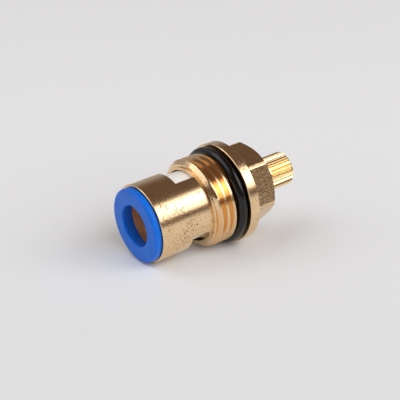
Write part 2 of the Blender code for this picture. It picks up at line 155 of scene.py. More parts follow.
# Spindle
SHAFT = 4.95
PLATE = 6.30
PLATE_THICKNESS = 1.70
LOBE = 8.15
LOBE_INNER = 3.15
LOBE_HALF = math.radians(30.0)
LOBE_INSET = 0.1
TANG_WIDTH = 3.20
TANG_LENGTH = 11.60
TANG_DEPTH = 2.40
STEM_GROOVE = 3.55
STEM_GROOVE_HALF = 0.75
STEM_GROOVES = (0.83, 4.83)
CLIP_GROOVE = 4.20
CLIP_GROOVE_WIDTH = 0.80
SHOULDER_LENGTH = 0.60
SHOULDER_CHAMFER = 0.435
SHANK = 4.08
SPLINE = 4.03
SPLINE_ROOT = 3.63
SPLINE_TEETH = 24
SPLINE_TOOTH_FACETS = 10
SPLINE_FIRST_RINGS = (0.02, 0.12)
SPLINE_TURN = math.radians(4.5)
SPLINE_ROOT_SHARE = 0.04
SPLINE_TIP_SHARE = 0.39
SPLINE_ROUNDING = 0.35
SPLINE_CHAMFER = 0.20
SCREW_HOLE = 1.65
SCREW_HOLE_DEPTH = 9.0
SCREW_HOLE_CHAMFER = 0.35

# Circlip
CLIP_INNER = 4.25
CLIP_OUTER = 5.95
CLIP_LUG = 6.75
CLIP_HALF_MOUTH = math.radians(28.0)
CLIP_LUG_TURN = math.radians(20.0)
CLIP_HOLE = 0.5
CLIP_THICKNESS = 0.70


# Shapes


def polar(radius, angle):
    """The (y, z) point at a radius and an angle about +X, counted from +Z."""
    return (-radius * math.sin(angle), radius * math.cos(angle))


def place(form, name):
    """Turns a bmesh in millimetres into an object of the cartridge."""
    form.normal_update()
    bmesh.ops.recalc_face_normals(form, faces=form.faces)
    form.transform(Matrix.Rotation(ROLL, 4, "X"))
    mesh = bpy.data.meshes.new(name)
    form.to_mesh(mesh)
    form.free()
    thing = bpy.data.objects.new(name, mesh)
    bpy.context.scene.collection.objects.link(thing)
    return thing


def turned(profile, segments=ROUND, turn=0.0, reshape=None):
    """Turns a profile of (x, radius) points about X. One that starts on the axis also ends on it."""
    form = bmesh.new()
    closed = profile[0][1] > 0
    rings = []
    for x, radius in profile:
        if radius <= 0:
            rings.append([form.verts.new((x, 0.0, 0.0))])
            continue
        ring = []
        for step in range(segments):
            angle = turn + TAU * step / segments
            reach = reshape(x, radius, angle) if reshape else radius
            ring.append(form.verts.new((x, *polar(reach, angle))))
        rings.append(ring)
    pairs = list(zip(rings, rings[1:])) + ([(rings[-1], rings[0])] if closed else [])
    for near, far in pairs:
        for step in range(segments):
            after = (step + 1) % segments
            if len(near) == 1:
                form.faces.new((near[0], far[after], far[step]))
            elif len(far) == 1:
                form.faces.new((near[step], near[after], far[0]))
            else:
                form.faces.new((near[step], near[after], far[after], far[step]))
    return form


def extruded(outline, start, end):
    """A prism of an outline of (y, z) points between two stations."""
    form = bmesh.new()
    near, far = ([form.verts.new((x, y, z)) for y, z in outline] for x in (start, end))
    form.faces.new(near)
    form.faces.new(far)
    for index, vert in enumerate(near):
        after = (index + 1) % len(near)
        form.faces.new((vert, near[after], far[after], far[index]))
    return form


def arc(radius, start, end):
    """Points of (y, z) from one angle to another, spaced as a full turn's facets are."""
    steps = max(1, round(abs(end - start) / TAU * ROUND))
    return [polar(radius, start + (end - start) * step / steps) for step in range(steps + 1)]


def circle(radius, centre=(0.0, 0.0)):
    """A small circle's points, round a centre of (y, z)."""
    points = [polar(radius, TAU * step / HOLE_SIDES) for step in range(HOLE_SIDES)]
    return [(centre[0] + y, centre[1] + z) for y, z in points]


def sector(inner, outer, middle, half):
    return arc(outer, middle - half, middle + half) + arc(inner, middle + half, middle - half)


def rectangle(width_y, width_z, centre_z=0.0):
    half_y, half_z = width_y / 2, width_z / 2
    corners = ((-half_y, -half_z), (half_y, -half_z), (half_y, half_z), (-half_y, half_z))
    return [(y, z + centre_z) for y, z in corners]


def quarter_round(width, steps=8):
    """A quarter of a round edge, as (along, out) points that go from flush to its full width."""
    turns = [math.pi / 2 * step / steps for step in range(steps + 1)]
    return [(width - width * math.cos(turn), width * math.sin(turn)) for turn in turns]


def smooth(share):
    """A share held between 0 and 1, with soft ends."""
    held = min(1.0, max(0.0, share))
    return held * held * (3 - 2 * held)


def fixed(thing):
    """Makes a piece's modifiers part of its mesh."""
    evaluated = thing.evaluated_get(bpy.context.evaluated_depsgraph_get())
    made = bpy.data.meshes.new_from_object(evaluated)
    thing.modifiers.clear()
    thing.data = made
    return thing


def carve(thing, form, operation="DIFFERENCE"):
    """Cuts a bmesh away from a piece, or joins it on with UNION."""
    tool = place(form, "tool")
    modifier = thing.modifiers.new("carve", "BOOLEAN")
    modifier.operation = operation
    modifier.solver = "EXACT"
    modifier.object = tool
    fixed(thing)
    bpy.data.objects.remove(tool)


def broken_edges(thing, width):
    """Rounds a piece's sharp edges, as tumbling and wear do."""
    modifier = thing.modifiers.new("edges", "BEVEL")
    modifier.width = width
    modifier.segments = 2
    modifier.limit_method = "ANGLE"
    modifier.angle_limit = math.radians(30)
    modifier.miter_outer = "MITER_ARC"
    return fixed(thing)


def finished(thing, body, node, finishes, angle=30):
    """Scales a piece to metres, shades it and puts its finishes on. It rides a body in place of a node."""
    thing.data.transform(Matrix.Scale(MM, 4))
    thing.data.shade_smooth()
    thing.data.set_sharp_from_angle(angle=math.radians(angle))
    level = thing.modifiers.new("flat faces stay flat", "WEIGHTED_NORMAL")
    level.mode = "FACE_AREA"
    level.weight = 80
    level.keep_sharp = True
    fixed(thing)
    thing.data.materials.clear()
    for finish in finishes:
        thing.data.materials.append(finish)
    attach(thing, body)
    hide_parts(node)
    return thing


# Finishes


class Value:
    """A socket in a node tree. Arithmetic on it adds Math nodes."""

    def __init__(self, nodes, socket):
        self.nodes = nodes
        self.socket = socket

    def math(self, operation, *values):
        return self.nodes.node("ShaderNodeMath", {"operation": operation}, values)

    def __add__(self, other):
        return self.math("ADD", self, other)

    def __sub__(self, other):
        return self.math("SUBTRACT", self, other)

    def __rsub__(self, other):
        return self.math("SUBTRACT", other, self)

    def __mul__(self, other):
        return self.math("MULTIPLY", self, other)

    __radd__ = __add__
    __rmul__ = __mul__

    def above(self, edge):
        return self.math("GREATER_THAN", self, edge)

    def at_least(self, other):
        return self.math("MAXIMUM", self, other)

    def limited(self):
        return self.math("MINIMUM", self.at_least(0.0), 1.0)


class Nodes:
    """A node tree, all of whose nodes come from one method."""

    def __init__(self, tree):
        self.tree = tree

    def node(self, kind, settings=None, inputs=(), output=0):
        """Adds a node: its settings first, then the values or links of its sockets."""
        made = self.tree.nodes.new(kind)
        for name, value in (settings or {}).items():
            setattr(made, name, value)
        pairs = inputs.items() if isinstance(inputs, dict) else enumerate(inputs)
        for key, value in pairs:
            if isinstance(value, Value):
                self.tree.links.new(value.socket, made.inputs[key])
            else:
                made.inputs[key].default_value = value
        return Value(self, made.outputs[output])

    def vector(self, operation, *values, output="Vector"):
        return self.node("ShaderNodeVectorMath", {"operation": operation}, values, output)

    def noise(self, where, scale, detail=2.0, roughness=0.5):
        inputs = {"Vector": where, "Scale": scale, "Detail": detail, "Roughness": roughness}
        return self.node("ShaderNodeTexNoise", None, inputs)

    def eased(self, value, low, high, start=0.0, end=1.0):
        """Maps a value from low..high to start..end with soft ends."""
        inputs = {"Value": value, "From Min": low, "From Max": high, "To Min": start, "To Max": end}
        return self.node("ShaderNodeMapRange", {"interpolation_type": "SMOOTHSTEP"}, inputs)

    def mixed(self, share, first, second):
        colours = [(*colour, 1.0) if isinstance(colour, tuple) else colour for colour in (first, second)]
        inputs = {0: share, 6: colours[0], 7: colours[1]}
        return self.node("ShaderNodeMix", {"data_type": "RGBA"}, inputs, output=2)


class Finish(Nodes):
    """A material, in millimetres of the piece it is on. Its constants go on the shader's own sockets."""

    def __init__(self, name, **shader):
        self.material = bpy.data.materials.new(name)
        self.material.use_nodes = True
        super().__init__(self.material.node_tree)
        self.shader = self.tree.nodes["Principled BSDF"]
        for socket, value in shader.items():
            self.shader.inputs[socket.replace("_", " ")].default_value = value
        in_metres = self.node("ShaderNodeTexCoord", output="Object")
        self.where = self.vector("MULTIPLY", in_metres, (1 / MM,) * 3)

    def stretched(self, factors):
        """Places on the piece, scaled along each axis: a factor under 1 draws a pattern out along it."""
        return self.vector("MULTIPLY", self.where, factors)

    def bumped(self, height, depth):
        """A normal for a height from 0 to 1 that stands for a depth in millimetres."""
        inputs = {"Height": height, "Distance": depth * MM}
        return self.node("ShaderNodeBump", None, inputs, output="Normal")

    def feed(self, **values):
        """Links values to the shader, and gives the finished material."""
        for socket, value in values.items():
            self.tree.links.new(value.socket, self.shader.inputs[socket.replace("_", " ")])
        return self.material


# Where the sleeve's pores crowd together: (x, y, z) and reach in millimetres
PORE_CLUSTERS = (
    ((-14.4, -8.2, 4.0), 2.2),
    ((-13.8, -8.9, -1.8), 3.6),
    ((-17.3, -8.7, 2.6), 2.2),
    ((-17.7, -7.2, 5.6), 1.8),
    ((-11.8, -9.1, 0.4), 2.4),
)

# Large and small pores: cells to the millimetre, a pore's share of its cell, and how many cells have one
PORE_KINDS = ((1.5, 0.22, 0.8), (2.7, 0.30, 0.5))
PORE_SOFTNESS = 0.10
# The pores' dark colour: painted shade in their pits.
PORE_PIT_SHADE = (0.17, 0.09, 0.04)


def pore_crowding(finish):
    """How thickly the pores stand, from 0 to 1: faint clouds all over, and the sleeve's own clusters."""
    crowding = finish.eased(finish.noise(finish.where, 0.30, 2.0), 0.50, 0.72) * 0.12
    for centre, reach in PORE_CLUSTERS:
        apart = finish.vector("DISTANCE", finish.where, centre, output="Value")
        crowding = (crowding + finish.eased(apart, 0.3 * reach, reach, 1.0, 0.0)).limited()
    return crowding


def pores_of(finish, amount):
    """A mask of round pores, a little longer round the turn than along it."""
    crowding = pore_crowding(finish)
    where = finish.stretched((1.15, 1.0, 1.0))
    wobble = finish.noise(finish.where, 6.0, 2.0) * 0.08
    pitted = 0.0
    for scale, size, share in PORE_KINDS:
        cells = {"Vector": where, "Scale": scale, "Randomness": 1.0}
        away = finish.node("ShaderNodeTexVoronoi", None, cells, output="Distance")
        colour = finish.node("ShaderNodeTexVoronoi", None, cells, output="Color")
        lot = finish.node("ShaderNodeSeparateColor", None, (colour,))
        winning = (crowding * (-amount * share) + (1.0 - 0.03 * amount)).limited()
        pore = finish.eased(away + wobble, size, size + PORE_SOFTNESS, 1.0, 0.0)
        pitted = pore * lot.above(winning) + pitted
    return pitted.limited()


def brass(name, light, dark, roughness, marks, grain, pores, mottle=0.6, grain_scale=2.6, painted_shade=None):
    """Machined brass: rings left by the tool, mottled grain, pores with painted shade in them, and painted
    shade wherever a shade mask is given.

    Marks, grain and pores say how strong each is, and mottle is the grain's share of the colour's changes.
    """
    finish = Finish(name, Metallic=1.0)
    rings = finish.noise(finish.stretched((1.0, 0.06, 0.06)), 5.0, 3.0, 0.6)
    fine = finish.noise(finish.where, grain_scale, 4.0, 0.75)
    cloud = finish.noise(finish.where, 0.42, 3.0, 0.55)
    pitted = pores_of(finish, pores)
    shade = finish.eased(cloud * (1.0 - mottle) + fine * mottle, 0.36, 0.64)
    tint = finish.mixed(shade, light, dark)
    # Painted shade: where the mask is full, the colour darkens to three tenths of the dark tone.
    if painted_shade:
        tint = finish.mixed(painted_shade(finish), tint, tuple(part * 0.30 for part in dark))
    return finish.feed(
        # Pores take the dark colour: painted shade in their pits.
        Base_Color=finish.mixed(pitted * 0.9, tint, PORE_PIT_SHADE),
        Roughness=(cloud * 0.08 + fine * 0.10 + pitted * 0.30 + (roughness - 0.09)).limited(),
        Normal=finish.bumped(rings * marks + fine * grain - pitted * 1.5, 0.010),
    )


def spline_groove_painted_shade(finish):
    """Painted shade in the spline's grooves: darker toward their roots, and darkest where the teeth start
    from the shank.
    """
    along = finish.node("ShaderNodeSeparateXYZ", None, (finish.where,), output="X")
    radius = finish.vector("LENGTH", finish.stretched((0.0, 1.0, 1.0)), output="Value")
    deep = finish.eased(radius, SPLINE_ROOT + 0.03, SPLINE_ROOT + 0.16, 1.0, 0.0)
    start = finish.eased(along, X_SPLINE + 0.10, X_SPLINE + 0.75, 1.0, 0.65)
    return deep * start * along.above(X_SPLINE)


def rubber(name, light, dark, roughness, grain, **shader):
    """Moulded rubber: nearly even, with a faint skin and dust."""
    finish = Finish(name, **shader)
    cloud = finish.noise(finish.where, 0.6, 3.0, 0.6)
    skin = finish.noise(finish.where, 14.0, 2.0, 0.6)
    specks = finish.eased(finish.noise(finish.where, 6.0, 1.0), 0.74, 0.80)
    tint = finish.mixed(finish.eased(cloud, 0.3, 0.7), light, dark)
    dust = tuple(min(1.0, part * 1.6 + 0.06) for part in light)
    return finish.feed(
        Base_Color=finish.mixed(specks * 0.25, tint, dust),
        Roughness=cloud * 0.10 + (roughness - 0.05),
        Normal=finish.bumped(skin * grain, 0.010),
    )


def ground_ceramic():
    """Ground alumina: off-white, with faint mottling."""
    finish = Finish("ground_ceramic")
    cloud = finish.noise(finish.where, 0.9, 4.0, 0.6)
    fine = finish.noise(finish.where, 16.0, 2.0, 0.6)
    return finish.feed(
        Base_Color=finish.mixed(finish.eased(cloud, 0.3, 0.7), (0.94, 0.92, 0.88), (0.90, 0.87, 0.82)),
        Roughness=fine * 0.12 + 0.32,
        Normal=finish.bumped(fine, 0.004),
    )


def stamped_steel():
    """Spring steel from the strip: dark grey, drawn out along X and Y."""
    finish = Finish("stamped_spring_steel", Metallic=1.0)
    drawn = finish.noise(finish.stretched((1.0, 1.0, 8.0)), 3.0, 3.0, 0.6)
    cloud = finish.noise(finish.where, 0.8, 3.0)
    return finish.feed(
        Base_Color=finish.mixed(finish.eased(cloud, 0.3, 0.7), (0.30, 0.29, 0.28), (0.17, 0.165, 0.16)),
        Roughness=drawn * 0.16 + 0.26,
        Normal=finish.bumped(drawn, 0.006),
    )


def moulded_plastic():
    """The washer's plastic: off-white, nearly even."""
    finish = Finish("moulded_plastic")
    cloud = finish.noise(finish.where, 0.7, 3.0)
    fine = finish.noise(finish.where, 12.0, 2.0)
    return finish.feed(
        Base_Color=finish.mixed(cloud, (0.80, 0.80, 0.76), (0.72, 0.71, 0.66)),
        Roughness=fine * 0.15 + 0.36,
        Normal=finish.bumped(fine, 0.005),
    )


turned_brass = brass(
    "turned_brass",
    light=(1.0, 0.735, 0.44),
    dark=(0.75, 0.52, 0.29),
    roughness=0.18,
    marks=0.6,
    grain=1.9,
    pores=1.25,
    mottle=0.8,
    grain_scale=3.2,
)
# Darker, more orange brass for the thread's flanks: painted shade of the thread's valleys.
thread_brass_painted_shade = brass(
    "thread_brass_painted_shade",
    light=(0.92, 0.60, 0.31),
    dark=(0.86, 0.56, 0.28),
    roughness=0.16,
    marks=0.1,
    grain=0.3,
    pores=0.04,
)
milled_brass = brass(
    "milled_brass",
    light=(0.93, 0.66, 0.38),
    dark=(0.31, 0.21, 0.10),
    roughness=0.24,
    marks=1.2,
    grain=3.0,
    pores=0.20,
    mottle=0.95,
    grain_scale=2.3,
)
rolled_brass = brass(
    "rolled_brass",
    light=(1.00, 0.74, 0.40),
    dark=(0.94, 0.67, 0.34),
    roughness=0.18,
    marks=0.2,
    grain=0.8,
    pores=0.10,
    # Painted shade in the spline's grooves
    painted_shade=spline_groove_painted_shade,
)
dull_brass = brass(
    "dull_brass",
    light=(0.95, 0.46, 0.19),
    dark=(0.66, 0.32, 0.14),
    roughness=0.34,
    marks=0.7,
    grain=1.6,
    pores=0.30,
)
seal_rubber = rubber(
    "blue_seal_rubber",
    light=(0.005, 0.165, 0.735),
    dark=(0.004, 0.145, 0.68),
    roughness=0.36,
    grain=0.5,
    Specular_IOR_Level=0.26,
    Subsurface_Weight=0.4,
    Subsurface_Radius=(0.2, 0.5, 1.0),
    Subsurface_Scale=0.002,
)
ring_rubber = rubber(
    "black_ring_rubber",
    light=(0.0025, 0.0022, 0.0026),
    dark=(0.0018, 0.0016, 0.0019),
    roughness=0.21,
    grain=0.4,
    Specular_IOR_Level=0.47,
)
ceramic = ground_ceramic()
steel = stamped_steel()
plastic = moulded_plastic()


# Thread

# How far the front face's edge reaches in, and the radius past which a vertex is on the head's outside
FRONT_REACH = 0.1
HEAD_OUTSIDE = THREAD_ROOT - 0.1


def first_crest(local):
    """The first crest's station at an angle counted from the upper window's middle."""
    return X_CREST + THREAD_PITCH * (local - CREST_ANGLE) / TAU


def thread_radius(x, local):
    """The helical thread's surface, right-handed about +X: narrow lands, and flanks with a sharp root.

    Before the first crest it is the lead-in cone, which the tool enters gradually over part of the turn.
    """
    past = x - first_crest(local)
    away = abs((past + THREAD_PITCH / 2) % THREAD_PITCH - THREAD_PITCH / 2)
    flank = (THREAD_PITCH - THREAD_LAND) / 2
    deep = (THREAD_MAJOR - THREAD_ROOT) * max(0.0, away - THREAD_LAND / 2) / flank
    if past < 0:
        deep *= smooth((local - THREAD_ENTRY) / THREAD_ENTRY_TURN) * (past > -THREAD_PITCH)
    cone = THREAD_FRONT + (x - X_THREAD) * (THREAD_MAJOR - THREAD_FRONT) / THREAD_LEAD_IN
    return min(cone, THREAD_MAJOR - deep)


def radius_of(vert):
    return math.hypot(vert.co.y, vert.co.z)


def band_loops(band, back):
    """The vertices that bound the plain band, by column: those at its front, and those at its back."""
    front_loop, back_loop = {}, {}
    for vert in band:
        column = round(math.atan2(-vert.co.y, vert.co.z) * ROUND / TAU) % ROUND
        if vert.co.x < X_THREAD + FRONT_REACH:
            highest = front_loop.get(column)
            if highest is None or radius_of(vert) > radius_of(highest):
                front_loop[column] = vert
        elif abs(vert.co.x - back) < HAIR:
            back_loop[column] = vert
    return front_loop, back_loop


def wound_columns(form, front_loop, back_loop, back):
    """Columns of vertices along X, from the seam round to the seam, and a list of the new vertices.

    The rows lie on the lands' edges and the roots, so each row follows the helix. After a full turn it
    meets the seam's row one turn of thread further on, and the last rows run out at the back.
    """
    seam_step = round(-THREAD_SEAM / TAU * ROUND)
    front = min(vert.co.x for vert in front_loop.values())
    cone_rows = [X_THREAD + THREAD_LEAD_IN * (row + 1) / CONE_ROWS for row in range(CONE_ROWS)]
    edges = (-THREAD_PITCH / 2, -THREAD_LAND / 2, THREAD_LAND / 2)
    columns, wound = [], []
    for step in range(seam_step, seam_step + ROUND):
        local = TAU * step / ROUND
        places = list(cone_rows)
        for turn in range(-1, 4):
            for edge in edges:
                place_on_helix = first_crest(local) + turn * THREAD_PITCH + edge
                places.append(min(back, max(front, place_on_helix)))
        rows = [form.verts.new((x, *polar(thread_radius(x, local), local))) for x in sorted(places)]
        wound += rows
        columns.append([front_loop[step % ROUND]] + rows + [back_loop[step % ROUND]])
    seam = columns[0]
    columns.append(seam[:1] + seam[1 + len(edges) :] + seam[-1:] * len(edges))
    return columns, wound


def lower_to_thread(vert):
    """Brings a vertex on the ring groove's front edge down where the thread's groove runs out into it."""
    local = (math.atan2(-vert.co.y, vert.co.z) + THREAD_SEAM) % TAU - THREAD_SEAM
    share = min(1.0, thread_radius(vert.co.x, local) / radius_of(vert))
    vert.co.y *= share
    vert.co.z *= share


def cut_thread(thing):
    """Puts a strip wound along the helix in place of the head's plain band and lead-in cone."""
    form = bmesh.new()
    form.from_mesh(thing.data)
    form.transform(Matrix.Rotation(-ROLL, 4, "X"))
    band = [
        vert
        for vert in form.verts
        if X_THREAD - NEAR < vert.co.x < X_GROOVE + NEAR and radius_of(vert) > HEAD_OUTSIDE
    ]
    back = max(vert.co.x for vert in band if radius_of(vert) > THREAD_MAJOR - HAIR)
    front_loop, back_loop = band_loops(band, back)
    loops = dict.fromkeys([*front_loop.values(), *back_loop.values()])
    between = [
        vert for vert in band if vert not in loops and X_THREAD + FRONT_REACH < vert.co.x < back - HAIR
    ]
    bmesh.ops.delete(form, geom=between, context="VERTS")

    columns, wound = wound_columns(form, front_loop, back_loop, back)
    for here, after in zip(columns, columns[1:]):
        for row in range(len(here) - 1):
            corners = list(dict.fromkeys((here[row], here[row + 1], after[row + 1], after[row])))
            if len(corners) > 2:
                form.faces.new(corners)
    for vert in band:
        if vert.is_valid and vert.co.x > back - HAIR:
            lower_to_thread(vert)
    bmesh.ops.remove_doubles(form, verts=[*wound, *loops], dist=HAIR / 2)
    form.transform(Matrix.Rotation(ROLL, 4, "X"))
    bmesh.ops.recalc_face_normals(form, faces=form.faces)
    form.to_mesh(thing.data)
    form.free()


# Valve body

# How squarely a face looks out from the axis on a flat, or along the axis on a thread's flank
FLAT_FACING = 0.9995
FLANK_FACING = 0.80


def body_profile():
    """The valve body's outline from the sleeve's rim to the hexagon, and back through its bores."""
    groove_bottom = X_THREAD - END_GROOVE_AHEAD
    return [
        (X_RIM, SLEEVE_BORE),
        (X_RIM, SLEEVE - RIM_CHAMFER),
        (X_RIM + RIM_CHAMFER, SLEEVE),
        (groove_bottom - END_GROOVE_SLOPE, SLEEVE),
        (groove_bottom, SLEEVE - END_GROOVE_DEPTH),
        (groove_bottom + END_GROOVE_SLOPE, SLEEVE),
        (X_THREAD - NECK_LENGTH - NECK_SLOPE, SLEEVE),
        (X_THREAD - NECK_LENGTH, SLEEVE - NECK_DEPTH),
        (X_THREAD, SLEEVE - NECK_DEPTH),
        (X_THREAD, THREAD_FRONT),
        (X_THREAD + THREAD_LEAD_IN, THREAD_MAJOR),
        (X_GROOVE, THREAD_MAJOR),
        (X_GROOVE, GROOVE),
        (X_FLANGE, GROOVE),
        (X_FLANGE, FLANGE - FLANGE_FRONT_CHAMFER),
        (X_FLANGE + FLANGE_FRONT_CHAMFER, FLANGE),
        (X_HEX - FLANGE_REAR_CHAMFER, FLANGE),
        (X_HEX, FLANGE - FLANGE_REAR_CHAMFER),
        (X_HEX, HEX_CORNER),
        (X_HEX_END - HEX_CHAMFER, HEX_CORNER),
        (X_HEX_END, HEX_FACE),
        (X_HEX_END, SPINDLE_BORE + BORE_CHAMFER),
        (X_HEX_END - BORE_CHAMFER, SPINDLE_BORE),
        (X_STEP + BORE_CHAMFER, SPINDLE_BORE),
        (X_STEP, SPINDLE_BORE + BORE_CHAMFER),
        (X_STEP, SLEEVE_BORE),
    ]


def mill_hexagon(body):
    corner = HEX_FLAT / math.cos(math.pi / 6)
    beyond = X_HEX_END + OVERRUN
    around = [(X_HEX, corner), (X_HEX, 2 * corner), (beyond, 2 * corner), (beyond, corner)]
    carve(body, turned(around, segments=6, turn=HEX_TURN))


def mill_windows(body):
    height = SLEEVE - WINDOW_FLOOR + OVERRUN
    for side in (1, -1):
        cutter = rectangle(WINDOW_WIDTH, height, side * (WINDOW_FLOOR + height / 2))
        carve(body, extruded(cutter, X_WINDOW, X_WINDOW_END))


def add_stops_and_keys(body):
    """The stops for the spindle's lobes, and the round keys that hold the fixed disc."""
    for middle in (0.0, math.pi):
        stop = sector(STOP_INNER, SLEEVE_BORE + SUNK, middle - math.pi / 4, STOP_HALF)
        carve(body, extruded(stop, X_PLATE + STOP_INSET, X_STEP + SUNK), "UNION")
    for side in (1, -1):
        key = circle(KEY, centre=(side * (SLEEVE_BORE - KEY_INSET), 0.0))
        carve(body, extruded(key, X_FIXED_DISC, X_FIXED_DISC + FIXED_DISC_THICKNESS), "UNION")


def finish_faces(body):
    """Puts the second finish on the three flats that the jaws held, and the third, a darker brass that
    paints the valleys' shade, on the thread's flanks.
    """
    first_flat = ROLL + HEX_TURN + math.pi / 6
    held_flats = [first_flat + math.pi / 3 * side for side in (1, 3, 5)]
    for face in body.data.polygons:
        x, normal = face.center.x / MM, face.normal
        radius = Vector(face.center).yz.length / MM
        facing = max(normal.y * -math.sin(flat) + normal.z * math.cos(flat) for flat in held_flats)
        on_hexagon = X_HEX + 2 * BRASS_EDGE < x < X_HEX_END - BRASS_EDGE
        on_thread = X_THREAD + 2 * NEAR < x < X_GROOVE - 2 * NEAR and radius > HEAD_OUTSIDE
        if on_hexagon and facing > FLAT_FACING:
            face.material_index = 1
        # The thread's flanks take the darker brass: painted shade in its valleys.
        elif on_thread and abs(normal.x) > FLANK_FACING:
            face.material_index = 2


def valve_body():
    body = place(turned(body_profile()), "valve_body_machined")
    mill_hexagon(body)
    mill_windows(body)
    add_stops_and_keys(body)
    broken_edges(body, BRASS_EDGE)
    cut_thread(body)
    finishes = (turned_brass, milled_brass, thread_brass_painted_shade)
    finished(body, "body", "valve_body", finishes, angle=40)
    finish_faces(body)


# Rings and seals


def flange_o_ring():
    turns = [TAU * step / RING_SIDES for step in range(RING_SIDES)]
    half, middle = RING_SECTION / 2, (X_GROOVE + X_FLANGE) / 2
    profile = [(middle - half * math.cos(turn), RING + half * math.sin(turn)) for turn in turns]
    o_ring = place(turned(profile), "flange_o_ring_moulded")
    finished(o_ring, "body", "flange_o_ring", (ring_rubber,))


def inlet_seal():
    """The blue ring: round edges, a taper at the rim, and a counterbore for its support ring."""
    counterbore = SUPPORT_RING_OUTER + SEAT
    lip_rear = X_FRONT + SEAL_LIP_LENGTH
    lip = [(X_FRONT + x, SEAL_HOLE + SEAL_HOLE_EDGE - out) for x, out in quarter_round(SEAL_HOLE_EDGE)]
    rim = [(X_FRONT + x, SEAL_FACE - SEAL_EDGE + out) for x, out in quarter_round(SEAL_EDGE)]
    rear = [
        (X_RIM - SEAL_TAPER, SEAL_FACE),
        (X_RIM - SEAT, SLEEVE_BORE - SEAT),
        (X_SEAL_REAR, SLEEVE_BORE - SEAT),
        (X_SEAL_REAR, counterbore),
        (lip_rear, counterbore),
        (lip_rear, SEAL_HOLE_END),
    ]
    seal = place(turned(lip[::-1] + rim + rear), "inlet_seal_moulded")
    finished(seal, "body", "inlet_seal", (seal_rubber,))


def seal_support_ring():
    profile = [
        (X_SUPPORT_RING, SUPPORT_RING_INNER),
        (X_SUPPORT_RING, SUPPORT_RING_OUTER),
        (X_SEAL_REAR, SUPPORT_RING_OUTER),
        (X_SEAL_REAR, SUPPORT_RING_INNER),
    ]
    piece = broken_edges(place(turned(profile), "seal_support_ring_turned"), BRASS_EDGE)
    finished(piece, "body", "seal_support_ring", (dull_brass,))


# Discs


def moving_disc():
    """Two sectors on a hub, the lower one cut back, with a slot for the spindle's tang."""
    lower = math.pi - DISC_HALF
    outline = (
        arc(DISC, -DISC_HALF, DISC_HALF)
        + arc(DISC_HUB, DISC_HALF, lower)
        + arc(DISC_LOWER, lower, lower + 2 * DISC_HALF)
        + arc(DISC_HUB, lower + 2 * DISC_HALF, TAU - DISC_HALF)
    )
    disc = place(extruded(outline, X_WINDOW, X_WINDOW + DISC_THICKNESS), "moving_disc_ground")
    carve(disc, extruded(rectangle(SLOT_WIDTH, SLOT_LENGTH), X_PLATE - SLOT_DEPTH, X_PLATE + OVERRUN))
    broken_edges(disc, HARD_EDGE)
    finished(disc, "spindle", "moving_disc", (ceramic,))


# Spindle


def spline_radius(x, radius, angle):
    """The toothed end: rounded flanks between a narrow root and a crest."""
    if x < X_SPLINE + NEAR or radius < SPLINE_ROOT + NEAR:
        return radius
    share = ((angle - SPLINE_TURN) / TAU * SPLINE_TEETH) % 1.0
    away = min(share, 1.0 - share)
    rise = min(1.0, max(0.0, (away - SPLINE_ROOT_SHARE) / (SPLINE_TIP_SHARE - SPLINE_ROOT_SHARE)))
    flank = smooth(rise) * SPLINE_ROUNDING + rise * (1.0 - SPLINE_ROUNDING)
    return min(radius, SPLINE_ROOT + (SPLINE - SPLINE_ROOT) * flank)


def spindle_profile():
    """The spindle's outline from its plate to its splined end, and back down the screw hole."""
    plate_rear = X_PLATE + PLATE_THICKNESS
    profile = [(X_PLATE, 0.0), (X_PLATE, PLATE), (plate_rear, PLATE), (plate_rear, SHAFT)]
    for middle in STEM_GROOVES:
        near, far = middle - STEM_GROOVE_HALF, middle + STEM_GROOVE_HALF
        profile += [(near, SHAFT), (near, STEM_GROOVE), (far, STEM_GROOVE), (far, SHAFT)]
    clip_end = X_HEX_END + CLIP_GROOVE_WIDTH
    shoulder = clip_end + SHOULDER_LENGTH
    hole_end = X_TIP - SCREW_HOLE_DEPTH
    profile += [(X_HEX_END, SHAFT), (X_HEX_END, CLIP_GROOVE), (clip_end, CLIP_GROOVE), (clip_end, SHAFT)]
    profile += [(shoulder, SHAFT), (shoulder + SHOULDER_CHAMFER, SHANK), (X_SPLINE, SHANK)]
    profile += [(X_SPLINE + past, SPLINE) for past in SPLINE_FIRST_RINGS]
    for step in range(5):
        down = SPLINE_CHAMFER * step / 4
        profile.append((X_TIP - SPLINE_CHAMFER + down, SPLINE - down))
    profile += [
        (X_TIP, SCREW_HOLE + SCREW_HOLE_CHAMFER),
        (X_TIP - SCREW_HOLE_CHAMFER, SCREW_HOLE),
        (hole_end + SCREW_HOLE, SCREW_HOLE),
        (hole_end, 0.0),
    ]
    return profile


def spindle():
    facets = SPLINE_TEETH * SPLINE_TOOTH_FACETS
    piece = place(turned(spindle_profile(), segments=facets, reshape=spline_radius), "spindle_machined")
    for turn in (0.0, math.pi):
        lobe = sector(LOBE_INNER, LOBE, turn, LOBE_HALF)
        carve(piece, extruded(lobe, X_PLATE + LOBE_INSET, X_PLATE + PLATE_THICKNESS - LOBE_INSET), "UNION")
    tang = rectangle(TANG_WIDTH, TANG_LENGTH)
    carve(piece, extruded(tang, X_PLATE - TANG_DEPTH, X_PLATE + PLATE_THICKNESS / 2), "UNION")
    finished(piece, "spindle", "spindle", (rolled_brass,), angle=24)


